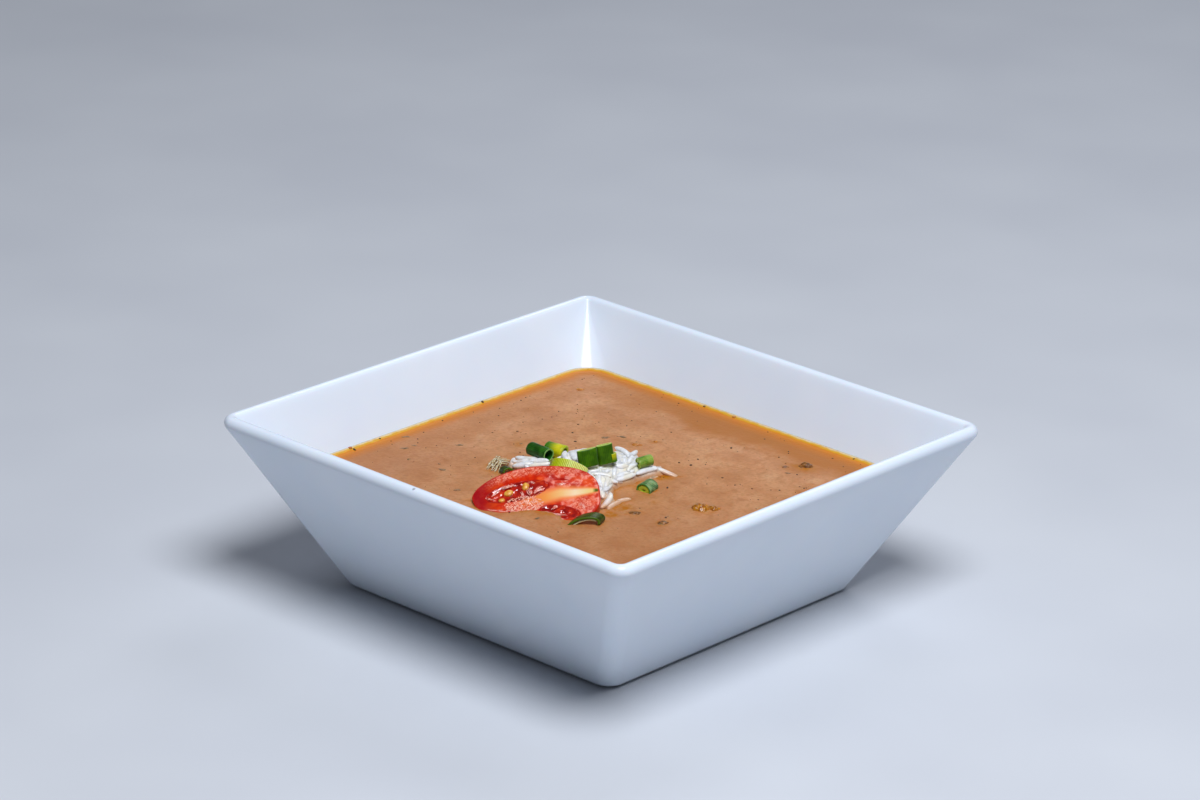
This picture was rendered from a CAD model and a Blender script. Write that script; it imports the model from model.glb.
# %% [markdown]
# # A bowl of gumbo
# A square bowl of white porcelain is filled with a creamy tan gumbo. On the soup lie a small heap of
# rice, half a plum tomato, cut scallions and a shred of onion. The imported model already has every
# place and size, so it is loaded first as a fixed frame in metres. Its box is kept, to compare the
# finished bowl with at the end.
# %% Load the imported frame
import math
import random

import bmesh
import bpy
from mathutils import Matrix, Vector, noise
from mathutils.bvhtree import BVHTree


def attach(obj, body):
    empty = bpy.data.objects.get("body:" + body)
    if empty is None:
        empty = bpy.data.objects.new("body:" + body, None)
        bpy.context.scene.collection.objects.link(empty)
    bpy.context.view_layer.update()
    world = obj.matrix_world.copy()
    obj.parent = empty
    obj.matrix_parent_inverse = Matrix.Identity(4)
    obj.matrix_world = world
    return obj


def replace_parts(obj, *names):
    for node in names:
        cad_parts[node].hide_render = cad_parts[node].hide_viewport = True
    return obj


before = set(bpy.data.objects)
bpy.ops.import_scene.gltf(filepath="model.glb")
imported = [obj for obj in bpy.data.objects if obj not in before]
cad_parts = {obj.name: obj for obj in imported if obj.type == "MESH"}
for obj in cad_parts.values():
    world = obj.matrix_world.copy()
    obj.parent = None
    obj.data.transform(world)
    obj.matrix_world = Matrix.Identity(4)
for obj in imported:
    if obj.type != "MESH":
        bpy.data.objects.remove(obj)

MM = 0.001
UP = Vector((0, 0, 1))
DOWN = Vector((0, 0, -1))
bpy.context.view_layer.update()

# %% [markdown]
# ## The camera
# The picture looks down on the bowl's front corner from far away with a long lens, which keeps the
# sides nearly parallel. The place and the three turns come from fitting the bowl's rim. A turn about
# Z, one about X and a small roll are multiplied in that order, which is easier to read than one
# mixed rotation.
# %% Make the camera
CAMERA_PLACE = Vector((-861.88, -770.82, 495.84)) * MM
VIEW_AZIMUTH = math.radians(-48.147)
VIEW_ELEVATION = math.radians(20.834)
VIEW_ROLL = math.radians(1.819)
LENS = 135


def view_turn(azimuth, elevation, roll):
    turn = Matrix.Rotation(azimuth, 4, "Z")
    tip = Matrix.Rotation(math.pi / 2 - elevation, 4, "X")
    return turn @ tip @ Matrix.Rotation(roll, 4, "Z")


camera_data = bpy.data.cameras.new("camera")
camera_data.lens = LENS
camera = bpy.data.objects.new("camera", camera_data)
bpy.context.collection.objects.link(camera)
camera.matrix_world = Matrix.Translation(CAMERA_PLACE) @ view_turn(VIEW_AZIMUTH, VIEW_ELEVATION, VIEW_ROLL)
bpy.context.scene.camera = camera
print("Camera at", tuple(round(v, 3) for v in CAMERA_PLACE), "with a lens of", LENS, "mm")

# %% [markdown]
# ## Colours and shader nodes
# Food has no flat colours, so every finish mixes a few of them by noise or by marks that the mesh
# carries. Colours are written as the six digits that a paint program shows and are turned into the
# linear values that the shader wants. A few short helpers keep each recipe down to a handful of lines.
# %% Helpers that set up a finish


def tint(digits):
    channels = [int(digits[i:i + 2], 16) / 255 for i in (0, 2, 4)]
    linear = [c / 12.92 if c <= 0.04045 else ((c + 0.055) / 1.055) ** 2.4 for c in channels]
    return (*linear, 1)


def feed(material, socket, value):
    """Gives a socket a number or colour, or joins another node's output to it."""
    if isinstance(value, bpy.types.NodeSocket):
        material.node_tree.links.new(value, socket)
    else:
        socket.default_value = value


def wear(material, **sockets):
    """Gives numbers or worked-out values to the finish's shader."""
    shader = material.node_tree.nodes["Principled BSDF"]
    for socket, value in sockets.items():
        feed(material, shader.inputs[socket.replace("_", " ")], value)
    return material


def new_finish(name, **sockets):
    material = bpy.data.materials.new(name)
    material.use_nodes = True
    return wear(material, **sockets)


def node(material, kind, **inputs):
    made = material.node_tree.nodes.new("ShaderNode" + kind)
    for name, value in inputs.items():
        feed(material, made.inputs[name], value)
    return made


print("Mid grey is", round(tint("808080")[0], 3), "in linear light")

# %% Helpers that read a place, a mark or noise


def mark(material, name):
    """A number that the mesh carries at its points."""
    made = node(material, "Attribute")
    made.attribute_name = name
    return made.outputs["Fac"]


def place(material):
    return node(material, "TexCoord").outputs["Object"]


def grain_of(material, size, detail=2):
    """Noise from 0 to 1 with features of about that size in millimetres."""
    made = node(material, "TexNoise", Vector=place(material), Scale=1 / (size * MM), Detail=detail)
    return made.outputs["Fac"]


def between(material, value, low, high):
    """0 at low, 1 at high, with a soft start and end."""
    made = node(material, "MapRange", Value=value)
    made.interpolation_type = "SMOOTHSTEP"
    made.inputs["From Min"].default_value = low
    made.inputs["From Max"].default_value = high
    return made.outputs["Result"]


print("Noise of 2 mm has a scale of", 1 / (2 * MM))

# %% Helpers that reckon and mix colours


def calculate(material, work, first, second):
    made = material.node_tree.nodes.new("ShaderNodeMath")
    made.operation = work
    feed(material, made.inputs[0], first)
    feed(material, made.inputs[1], second)
    return made.outputs[0]


def blend(material, share, first, second):
    made = material.node_tree.nodes.new("ShaderNodeMix")
    made.data_type = "RGBA"
    feed(material, made.inputs["Factor"], share)
    feed(material, made.inputs[6], first)
    feed(material, made.inputs[7], second)
    return made.outputs[2]


def tinted(material, base, share, strength, colour):
    """Mixes a colour into the base by a share, up to that strength."""
    return blend(material, calculate(material, "MULTIPLY", share, strength), base, tint(colour))


def ramp(material, value, *stops):
    made = node(material, "ValToRGB", Fac=value)
    colours = made.color_ramp.elements
    while len(colours) < len(stops):
        colours.new(0.5)
    for element, (position, digits) in zip(colours, stops):
        element.position = position
        element.color = tint(digits)
    return made.outputs["Color"]


def relief(material, height, depth):
    """A fine relief of that depth in millimetres that only the light sees."""
    bump = node(material, "Bump", Height=height, Strength=1.0, Distance=depth * MM)
    return wear(material, Normal=bump.outputs["Normal"])


def speckled(name, size, *stops, **sockets):
    """A finish whose colour runs through the stops by noise of that size in millimetres."""
    material = new_finish(name, **sockets)
    return wear(material, Base_Color=ramp(material, grain_of(material, size), *stops))


print("Helpers for finishes are ready")

# %% [markdown]
# ## Making a piece
# Each piece is worked out as points in millimetres and faces between them. One helper turns these
# into a mesh in metres. Another adds the marks that the finish reads, makes the faces look outwards,
# and lets the piece ride on the one body that this part has. Most forms here are stacks of rings under
# a closed skin, because rings can follow a rim, a section or a curve equally well.
# %% Helpers for pieces


def new_object(name, shape, finish):
    points, faces = shape
    mesh = bpy.data.meshes.new(name)
    mesh.from_pydata([Vector(point) * MM for point in points], [], faces)
    mesh.materials.append(finish)
    made = bpy.data.objects.new(name, mesh)
    bpy.context.collection.objects.link(made)
    return made


def make_piece(name, shape, finish, marks=None):
    piece = new_object(name, shape, finish)
    mesh = piece.data
    for mark_name, values in (marks or {}).items():
        mesh.attributes.new(mark_name, "FLOAT", "POINT").data.foreach_set("value", values)
    face_outwards(mesh)
    mesh.shade_smooth()
    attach(piece, "root")
    print(name, "has", len(mesh.polygons), "faces")
    return piece


def face_outwards(mesh):
    work = bmesh.new()
    work.from_mesh(mesh)
    bmesh.ops.recalc_face_normals(work, faces=work.faces)
    work.to_mesh(mesh)
    work.free()


print("One millimetre is", MM, "m in a piece's mesh")

# %% Helpers for shapes


def skin_rings(rings):
    """A closed skin over a stack of rings of equal counts; each end closes on a middle point."""
    count = len(rings[0])
    points = [point for ring in rings for point in ring]
    faces = []
    for low in range(0, count * (len(rings) - 1), count):
        for i in range(count):
            after = (i + 1) % count
            faces.append((low + i, low + after, low + count + after, low + count + i))
    for ring, first in ((rings[0], 0), (rings[-1], count * (len(rings) - 1))):
        middle = len(points)
        points.append(sum((Vector(p) for p in ring), Vector()) / count)
        faces += [(first + i, first + (i + 1) % count, middle) for i in range(count)]
    return points, faces


def gather(shapes):
    """Several shapes as one."""
    points, faces = [], []
    for more_points, more_faces in shapes:
        first = len(points)
        points += more_points
        faces += [tuple(first + corner for corner in face) for face in more_faces]
    return points, faces


def moved(points, matrix):
    return [matrix @ Vector(point) for point in points]


print("A skin over three rings of four points has", len(skin_rings([[(0, 0, 0)] * 4] * 3)[1]), "faces")

# %% Helpers for numbers and directions


def fade(value, start, end):
    """1 at start, 0 at end, with a soft run between."""
    share = min(max((value - end) / (start - end), 0), 1)
    return share * share * (3 - 2 * share)


def between_values(low, high, share):
    return low + (high - low) * share


def evenly(start, end, steps):
    """Both ends and the values between them in equal steps."""
    return [between_values(start, end, i / steps) for i in range(steps + 1)]


def full_turn(count):
    """Angles spread evenly round a full turn."""
    return [2 * math.pi * i / count for i in range(count)]


def side_of(ahead):
    """The level direction across another one."""
    return ahead.cross(UP).normalized()


print("Four angles round a turn:", [round(math.degrees(turn)) for turn in full_turn(4)])

# %% [markdown]
# ## Floor and light
# A studio table is one wide pale sheet, made large enough that no view finds its edge. The bowl is
# lit by a big soft light high over it, a little towards the camera, so that the soup and the insides
# of the far walls are bright and the outer walls lie in softer light. A weaker one behind it draws the
# edges, and a dim sky fills the shadows.
# %% Lay the floor and hang the lights
FLOOR_HALF = 9000
FLOOR_STEPS = 8
LIGHTS = {
    "key": {"where": (-0.2, -0.42, 1.06), "size": 0.6, "power": 14, "colour": "f4f8ff"},
    "back": {"where": (0.75, 0.35, 0.8), "size": 0.4, "power": 1.6, "colour": "eef3ff"},
}
SKY_COLOUR = "e6ecfa"
SKY_STRENGTH = 0.12


def floor_shape():
    count = FLOOR_STEPS + 1
    step = 2 * FLOOR_HALF / FLOOR_STEPS
    points = [(x * step - FLOOR_HALF, y * step - FLOOR_HALF, 0) for y in range(count) for x in range(count)]
    corners = [y * count + x for y in range(FLOOR_STEPS) for x in range(FLOOR_STEPS)]
    return points, [(a, a + 1, a + count + 1, a + count) for a in corners]


def soft_light(name, where, size, power, colour):
    lamp = bpy.data.lights.new(name, "AREA")
    lamp.shape = "DISK"
    lamp.size = size
    lamp.energy = power
    lamp.color = tint(colour)[:3]
    light = bpy.data.objects.new(name, lamp)
    bpy.context.collection.objects.link(light)
    light.location = where
    light.rotation_euler = (-Vector(where)).to_track_quat("-Z", "Y").to_euler()


table = speckled("pale_table", 90, (0.3, "c9ccd2"), (0.7, "d0d3d8"), Roughness=0.6)
floor = new_object("floor", floor_shape(), table)

for light_name, light in LIGHTS.items():
    soft_light(light_name, **light)
world = bpy.data.worlds.new("sky")
world.use_nodes = True
sky = world.node_tree.nodes["Background"]
sky.inputs["Color"].default_value = tint(SKY_COLOUR)
sky.inputs["Strength"].default_value = SKY_STRENGTH
bpy.context.scene.world = world
bpy.context.scene.view_settings.view_transform = "Standard"
print("Floor and lights in place:", ", ".join(LIGHTS))

# %% [markdown]
# ## The bowl
# The bowl is slip-cast porcelain: straight walls of even thickness that flare to a half-round lip,
# with a low ring underneath to stand on. All its level outlines are squares with rounded corners, so
# it is made by stacking such outlines and putting a skin over them. The inside corners are close at
# the lip and open out further down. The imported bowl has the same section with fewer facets.
# %% Sizes of the bowl
RIM_SIDE = 150
BASE_SIDE = 100
BOWL_HEIGHT = 50
WALL = 4
RIM_CORNER = 5
CAVITY_CORNER = 8.5
SOUP_LEVEL = 33
FLOOR_HEIGHT = 5
FLOOR_FILLET = 7
FOOT_ROUNDING = 4
FOOT_WIDTH = 2.6
FOOT_RECESS = 1.2

lip_radius = WALL / 2
lip_half = RIM_SIDE / 2 - lip_radius
lip_height = BOWL_HEIGHT - lip_radius
lip_run = lip_half - BASE_SIDE / 2
lean = math.atan2(lip_run, lip_height) + math.asin(lip_radius / math.hypot(lip_run, lip_height))
print("The walls lean out by", round(math.degrees(lean), 2), "degrees")


def outer_half(z):
    return BASE_SIDE / 2 + z * math.tan(lean)


def inner_half(z):
    return outer_half(z) - WALL / math.cos(lean)


def inner_corner(z):
    rim_corner = RIM_CORNER - (outer_half(lip_height) - inner_half(lip_height))
    share = min(max((lip_height - z) / (lip_height - SOUP_LEVEL), 0), 1)
    return between_values(rim_corner, CAVITY_CORNER, share)


print("Half the inside of the bowl at the soup's level is", round(inner_half(SOUP_LEVEL), 2), "mm")

# %% Outline and section of the bowl
SIDE_STEPS = 30
CORNER_STEPS = 12
WALL_STEPS = 8
ARC_STEPS = 10


def square_outline(half, corner):
    """A square with rounded corners, as points in order round it."""
    inset = half - corner
    side = [Vector((half, inset * (2 * i / SIDE_STEPS - 1))) for i in range(SIDE_STEPS)]
    turns = [math.pi / 2 * i / CORNER_STEPS for i in range(CORNER_STEPS)]
    bend = [Vector((inset + corner * math.cos(a), inset + corner * math.sin(a))) for a in turns]
    quarters = [Matrix.Rotation(quarter * math.pi / 2, 2) for quarter in range(4)]
    return [turn @ point for turn in quarters for point in side + bend]


def ring_at(half, z, corner):
    return [(x, y, z) for x, y in square_outline(half, corner)]


def arc(half, z, radius, start, end):
    turns = evenly(start, end, ARC_STEPS)
    return [(half + radius * math.cos(a), z + radius * math.sin(a)) for a in turns]


def climb(low, high, half_at):
    """Levels of a straight wall between two heights, without the ends."""
    return [(half_at(z), z) for z in evenly(low, high, WALL_STEPS)[1:-1]]


def floor_fillet(radius):
    height = FLOOR_HEIGHT + FLOOR_FILLET
    half = inner_half(height) - FLOOR_FILLET / math.cos(lean)
    return arc(half, height, radius, -lean, -math.pi / 2)


def bowl_rings():
    foot_half = outer_half(FOOT_ROUNDING) - FOOT_ROUNDING / math.cos(lean)
    foot_inner = foot_half - FOOT_WIDTH
    foot = arc(foot_half, FOOT_ROUNDING, FOOT_ROUNDING, -math.pi / 2, -lean)
    lip = arc(lip_half, lip_height, lip_radius, -lean, math.pi - lean)
    outside = [(foot_inner - FOOT_RECESS, FOOT_RECESS), (foot_inner, 0), *foot]
    outside += climb(foot[-1][1], lip[0][1], outer_half)
    inside = climb(lip[-1][1], SOUP_LEVEL, inner_half) + [(inner_half(SOUP_LEVEL), SOUP_LEVEL)]
    inside += climb(SOUP_LEVEL, floor_fillet(FLOOR_FILLET)[0][1], inner_half) + floor_fillet(FLOOR_FILLET)
    rings = [ring_at(half, z, RIM_CORNER) for half, z in outside]
    for half, z in lip:
        corner = max(RIM_CORNER - (RIM_SIDE / 2 - half), inner_corner(lip_height))
        rings.append(ring_at(half, z, corner))
    return rings + [ring_at(half, z, inner_corner(z)) for half, z in inside]


print("Each outline of the bowl has", 4 * (SIDE_STEPS + CORNER_STEPS), "points")

# %% [markdown]
# White porcelain is never quite even. The glaze is smooth with a very slight orange peel, the white
# under it has faint cool clouds, and the ring that it was fired on is bare and matt. There is one
# small chip in the glaze of the near left rim. A clear coat over a weak shine of the glaze itself keeps
# the lip bright without turning the walls into mirrors.
# %% Glaze and make the bowl
CHIP_PLACE = Vector((-73.6, 0.2, 49.6)) * MM
CHIP_RADIUS = 0.7
BARE_HEIGHTS = (0.5, 0.1)
GLAZE_ROUGHNESS = 0.2
BARE_ROUGHNESS = 0.7


def distance_to(material, spot):
    made = node(material, "VectorMath", Vector=place(material))
    made.operation = "DISTANCE"
    made.inputs[1].default_value = spot
    return made.outputs["Value"]


def glaze_finish():
    glaze = new_finish("porcelain_glaze", Specular_IOR_Level=0.25, Coat_Weight=0.1, Coat_Roughness=0.06)
    wear(glaze, Subsurface_Weight=0.08, Subsurface_Scale=0.002)
    clouds = ramp(glaze, grain_of(glaze, 28), (0.3, "e0eaf6"), (0.7, "e6eef8"))
    height = node(glaze, "SeparateXYZ", Vector=place(glaze)).outputs["Z"]
    bare = between(glaze, height, *(level * MM for level in BARE_HEIGHTS))
    fired = blend(glaze, bare, clouds, tint("cfc8bc"))
    chip = between(glaze, distance_to(glaze, CHIP_PLACE), CHIP_RADIUS * MM, 0.4 * CHIP_RADIUS * MM)
    wear(glaze, Base_Color=blend(glaze, chip, fired, tint("9aa0a8")))
    rougher = calculate(glaze, "MULTIPLY", bare, BARE_ROUGHNESS - GLAZE_ROUGHNESS)
    wear(glaze, Roughness=calculate(glaze, "ADD", rougher, GLAZE_ROUGHNESS))
    peel = calculate(glaze, "ADD", grain_of(glaze, 1.6), calculate(glaze, "MULTIPLY", chip, -3))
    return relief(glaze, peel, 0.004)


bowl = make_piece("bowl_porcelain", skin_rings(bowl_rings()), glaze_finish())
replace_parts(bowl, "bowl")

# %% [markdown]
# ## The garnish's own frame
# All garnish is laid out as the cook sees it: x across, y away and z above the soup. One turned frame
# takes these places into the bowl's. A piece has a place in it, a heading about the upright, a tilt
# about its own x and a roll about its own z.
# %% The garnish frame
GARNISH_TURN = math.radians(-48.15)
garnish = Matrix.Translation((0, 0, SOUP_LEVEL)) @ Matrix.Rotation(GARNISH_TURN, 4, "Z")


def pose(at, heading=0, tilt=0, roll=0):
    turn = Matrix.Rotation(math.radians(heading), 4, "Z")
    turn = turn @ Matrix.Rotation(math.radians(tilt), 4, "X")
    turn = turn @ Matrix.Rotation(math.radians(roll), 4, "Z")
    return garnish @ Matrix.Translation(at) @ turn


def in_garnish(x, y, z=SOUP_LEVEL):
    """A place in the bowl, as the garnish frame has it."""
    return garnish.inverted() @ Vector((x, y, z))


print("The soup's level is", SOUP_LEVEL, "mm above the table")

# %% [markdown]
# ## The tomato
# It is half a small plum tomato, cut lengthwise and lying on its skin, with the blossom end to the
# left. The cut shows a fleshy wall, a pale core that runs in from the stem, and two pockets of seeds
# in jelly. The cut face is a grid that is pressed down where the pockets are and roughened where the
# flesh is grainy. The same grid closes below with the round skin. Marks on its points say where the
# skin, the core, the torn grains, the jelly, the paler flesh and the blossom end are, and the finish
# turns these into colour.
# %% Sizes of the tomato
TOMATO_LENGTH = 35
TOMATO_HALF_WIDTH = 10.2
TOMATO_SLANT = 0.1
NEAR_ROUNDNESS = (2, 3.2)
FAR_ROUNDNESS = (1.65, 2.5)
TOMATO_POSE = pose((-34.9, -21, 1.1), -16.5, 28, 15)
GEL_UPPER = {"at": (12.4, 1.2), "radii": (8.4, 3.1, 4.2), "turn": 13}
GEL_LOWER = {"at": (24.4, -6.9), "radii": (5.2, 2, 3.4), "turn": -16}
SLIT = {"at": (24.4, 5.2), "radii": (3.6, 0.7, 0.6), "turn": -8}
CORE_RUN = [(34.2, 0.1), (30.8, 0), (27.6, -0.3), (24.4, -0.2), (21.1, -1), (17.9, -1.9), (14.5, -3)]
CORE_WIDTHS = [0.6, 1.1, 1.5, 1.7, 1.6, 1.5, 1.2]
print("The tomato is", TOMATO_LENGTH, "mm long and", 2 * TOMATO_HALF_WIDTH, "mm wide")

# %% Form of the tomato


def tomato_half_width(along, far_side=False):
    """Half the width of the cut face; the far side tapers more towards both ends."""
    from_middle = abs(2 * along - 1)
    blossom, stem = FAR_ROUNDNESS if far_side else NEAR_ROUNDNESS
    roundness = blossom if along < 0.5 else stem
    return TOMATO_HALF_WIDTH * max(1 - from_middle ** roundness, 0) ** (1 / roundness)


def pocket_reach(pocket, x, y):
    """0 in the middle of a pocket, 1 at its edge."""
    turn = Matrix.Rotation(-math.radians(pocket["turn"]), 2)
    inner = turn @ (Vector((x, y)) - Vector(pocket["at"]))
    return math.hypot(inner.x / pocket["radii"][0], inner.y / pocket["radii"][1])


def core_nearness(x, y):
    """How near a point is to the core, from 1 to 0, and how far along it from the stem, from 0 to 1."""
    nearest, run = 0, 1
    here = Vector((x, y))
    pieces = len(CORE_RUN) - 1
    for i in range(pieces):
        start, end = Vector(CORE_RUN[i]), Vector(CORE_RUN[i + 1])
        share = min(max((here - start).dot(end - start) / (end - start).length_squared, 0), 1)
        width = between_values(CORE_WIDTHS[i], CORE_WIDTHS[i + 1], share)
        near = fade((here - start.lerp(end, share)).length / width, 0, 2.4)
        if near > nearest:
            nearest, run = near, (i + share) / pieces
    return nearest, run


def oval_reach(x, y, centre, radii):
    """0 in the middle of an oval patch, 1 at its edge."""
    return math.hypot((x - centre[0]) / radii[0], (y - centre[1]) / radii[1])


def oval(x, y, centre, radii):
    """1 in the middle of an oval patch, fading to 0 at its edge."""
    return fade(oval_reach(x, y, centre, radii), 0.35, 1.1)


print("The core of the tomato runs through", len(CORE_RUN), "points")

# %% Marks of the cut face
FLESH_MARKS = ("skin", "core", "core_run", "grainy", "jelly", "pale", "blossom_end")
SKIN_MARKS = (1, 0, 1, 0, 0, 0, 0)


def grainy(x, y, rim):
    """Where the flesh is torn into glistening grains."""
    band = fade(rim, 1.8, 4) * fade(rim, 0.7, 0.3) * fade(abs(x - 17), 9, 15) * (y > 0)
    lower = oval(x, y, (14.5, -4), (6.5, 2.4))
    right = oval(x, y, (30.4, -4.6), (4.2, 3.2))
    return max(0.75 * band, lower, 0.8 * right)


def paleness(x, y, rim):
    """Where the flesh is paler: along the outer wall and towards the stem."""
    stem_side = max(oval(x, y, (27, 4.5), (9, 5)), oval(x, y, (28.5, -5), (6, 4.5)))
    return max(fade(rim, 0.5, 3.4), 0.9 * stem_side) * between_values(0.3, 1, fade(x, 11, 2))


def jelly_nearness(x, y):
    """1 over a pocket or the slit, fading to 0 in the flesh round it."""
    lips = ((GEL_UPPER, 0.95, 1.25), (GEL_LOWER, 0.95, 1.4), (SLIT, 0.2, 1))
    return max(fade(pocket_reach(pocket, x, y), full, none) for pocket, full, none in lips)


def cut_marks(x, y, rim):
    """The numbers of FLESH_MARKS at a place; rim is how far it is from the outline."""
    core, run = core_nearness(x, y)
    skin = fade(rim, 0.15, 0.6)
    blossom_end = fade(x, 1, 11)
    return skin, core, run, grainy(x, y, rim), jelly_nearness(x, y), paleness(x, y, rim), blossom_end


print("Marks of the cut face:", ", ".join(FLESH_MARKS))

# %% Relief of the cut face
FACE_EDGE = 0.35
RIM_DROP = 0.15
LIP_HEIGHT = 0.07


def cut_relief(x, y, rim):
    height = -RIM_DROP * fade(rim, 0, FACE_EDGE)
    for pocket, lip in ((GEL_UPPER, 1.12), (GEL_LOWER, 1.12), (SLIT, 1.9)):
        reach = pocket_reach(pocket, x, y)
        if reach < 1:
            height -= pocket["radii"][2] * math.sqrt(1 - reach * reach)
        height += LIP_HEIGHT * fade(abs(reach - lip), 0, 0.3)
    spot = Vector((x, y, 0))
    height += 0.10 * noise.noise(spot * 0.35)
    height += between_values(0.03, 0.16, grainy(x, y, rim)) * noise.noise(spot * 1.7)
    return height + 0.05 * grainy(x, y, rim) * noise.noise(spot * 4)


print("The rim of the cut face drops by", RIM_DROP, "mm")

# %% Shape of the tomato
FACE_STATIONS = 170
FACE_STEPS = 110
SKIN_STEPS = 44


def tomato_station(along):
    """One section of the tomato: points with their marks, over the cut face and back round the skin."""
    near, far = tomato_half_width(along), tomato_half_width(along, True)
    section = []
    for i in range(FACE_STEPS):
        y = -math.cos(math.pi * i / FACE_STEPS)
        half = far if y > 0 else near
        y *= half
        x = along * TOMATO_LENGTH - TOMATO_SLANT * y
        ends = min(along, 1 - along) * TOMATO_LENGTH
        rim = min(half - abs(y), ends)
        section.append(((x, y, cut_relief(x, y, rim)), cut_marks(x, y, rim)))
    for i in range(SKIN_STEPS):
        turn = math.pi * i / SKIN_STEPS
        y = (far if turn < math.pi / 2 else near) * math.cos(turn)
        x = along * TOMATO_LENGTH - TOMATO_SLANT * y
        section.append(((x, y, -RIM_DROP - near * math.sin(turn)), SKIN_MARKS))
    return section


def tomato_sections():
    stations = [(1 - math.cos(math.pi * i / FACE_STATIONS)) / 2 for i in range(1, FACE_STATIONS)]
    return [tomato_station(along) for along in stations]


sections = tomato_sections()
tomato_points, tomato_faces = skin_rings([[point for point, _ in section] for section in sections])
tomato_marks = [marks for section in sections for _, marks in section] + [SKIN_MARKS] * 2
print("The tomato's surface has", len(tomato_points), "points")

# %% [markdown]
# Wet tomato flesh is red with light scattering under its surface, so the shader gets some
# subsurface light and a thin clear coat for the juice. Its own shine is kept weak, because a strong
# one lays grey over the red. From the marks the colour goes from deep red to salmon where it is
# grainy or pale, and to cream and orange along the core. The skin is a cleaner orange-red, and a
# green spot shows where the stem was.
# %% Finish and make the tomato
CORE_COLOURS = [
    (0.0, "4f5a1c"), (0.02, "6a6a20"), (0.06, "e8c878"), (0.3, "f0d4ac"), (0.48, "eebc7a"), (0.7, "ea9648"),
    (1.0, "e0682c"),
]


def red_of_flesh(flesh):
    """The red of the cut face, with its paler patches and its dark blossom end."""
    red = ramp(flesh, grain_of(flesh, 3.2), (0.32, "b01402"), (0.5, "cc2604"), (0.68, "e44c0c"))
    patches = calculate(flesh, "ADD", between(flesh, grain_of(flesh, 1.6, 3), 0.42, 0.64), 0.08)
    pale = calculate(flesh, "MULTIPLY", mark(flesh, "pale"), patches)
    red = tinted(flesh, red, pale, 0.75, "f8ac9c")
    return tinted(flesh, red, mark(flesh, "blossom_end"), 0.9, "980c16")


def flesh_finish():
    flesh = new_finish("tomato_flesh", Roughness=0.3, Specular_IOR_Level=0.12)
    wear(flesh, Coat_Weight=0.15, Coat_Roughness=0.1, Subsurface_Weight=0.12, Subsurface_Scale=0.001)
    core = mark(flesh, "core")
    mixed = tinted(flesh, red_of_flesh(flesh), between(flesh, core, 0, 0.6), 0.85, "f08a50")
    fine = between(flesh, grain_of(flesh, 0.5, 3), 0.44, 0.64)
    grains = blend(flesh, fine, tint("cc4420"), tint("f6a286"))
    mixed = blend(flesh, calculate(flesh, "MULTIPLY", mark(flesh, "grainy"), 0.85), mixed, grains)
    uneven = calculate(flesh, "SUBTRACT", mark(flesh, "jelly"), grain_of(flesh, 1.3))
    mixed = blend(flesh, between(flesh, uneven, -0.15, 0.3), mixed, tint("a4140a"))
    core_colour = ramp(flesh, mark(flesh, "core_run"), *CORE_COLOURS)
    mixed = blend(flesh, between(flesh, core, 0.45, 0.95), mixed, core_colour)
    skin = ramp(flesh, grain_of(flesh, 5), (0.35, "b41c06"), (0.7, "cf3208"))
    return wear(flesh, Base_Color=blend(flesh, mark(flesh, "skin"), mixed, skin))


def shared_marks(names, rows):
    return {name: [row[i] for row in rows] for i, name in enumerate(names)}


flesh = make_piece(
    "tomato_half", (moved(tomato_points, TOMATO_POSE), tomato_faces), flesh_finish(),
    shared_marks(FLESH_MARKS, tomato_marks))
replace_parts(flesh, "tomato_flesh")

# %% [markdown]
# The seed pockets are filled with jelly, which sags a little under the cut and creeps up its edges.
# Its wrinkled wet top catches the light, so it is a fine disc of rings that follow the pocket, and the
# wrinkles are real geometry. Pale threads of tissue run through it and along its rim.
# %% Jelly in the pockets
GEL_DROP = 0.3
GEL_RINGS = 40
GEL_SIDES = 120
GEL_LAP = 0.15


def gel_height(reach, x, y):
    spot = Vector((x, y, 3))
    creep = 0.36 * fade(reach, 1, 0.72)
    wrinkle = 0.3 * noise.noise(spot * 0.6) + 0.06 * noise.noise(spot * 2)
    return -GEL_DROP + creep + wrinkle * fade(reach, 0.8, 1)


def gel_point(pocket, reach, turn, top):
    a, b, depth = pocket["radii"]
    lap = GEL_LAP if top else -GEL_LAP
    inner = Vector(((a + lap) * reach * math.cos(turn), (b + lap) * reach * math.sin(turn)))
    x, y = Matrix.Rotation(math.radians(pocket["turn"]), 2) @ inner + Vector(pocket["at"])
    bottom = -(depth - GEL_LAP) * math.sqrt(max(1 - reach * reach, 0)) - GEL_DROP
    return (x, y, gel_height(reach, x, y) if top else bottom)


def gel_shape(pocket):
    turns = full_turn(GEL_SIDES)
    reaches = [(i + 1) / GEL_RINGS for i in range(GEL_RINGS)]
    rings = [[gel_point(pocket, reach, turn, False) for turn in turns] for reach in reaches[:-1:4]]
    rings += [[gel_point(pocket, reach, turn, True) for turn in turns] for reach in reversed(reaches)]
    points, faces = skin_rings(rings)
    return moved(points, TOMATO_POSE), faces


jelly = speckled(
    "tomato_jelly", 1.8, (0.35, "8c0c04"), (0.52, "b41a06"), (0.7, "d23c14"), Roughness=0.08,
    Coat_Weight=0.6, Coat_Roughness=0.03, Subsurface_Weight=0.4, Subsurface_Scale=0.001)
for gel_name, pocket in (("upper", GEL_UPPER), ("lower", GEL_LOWER)):
    gel_piece = make_piece("jelly_" + gel_name, gel_shape(pocket), jelly)
    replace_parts(gel_piece, "tomato_gel_" + gel_name)

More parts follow.
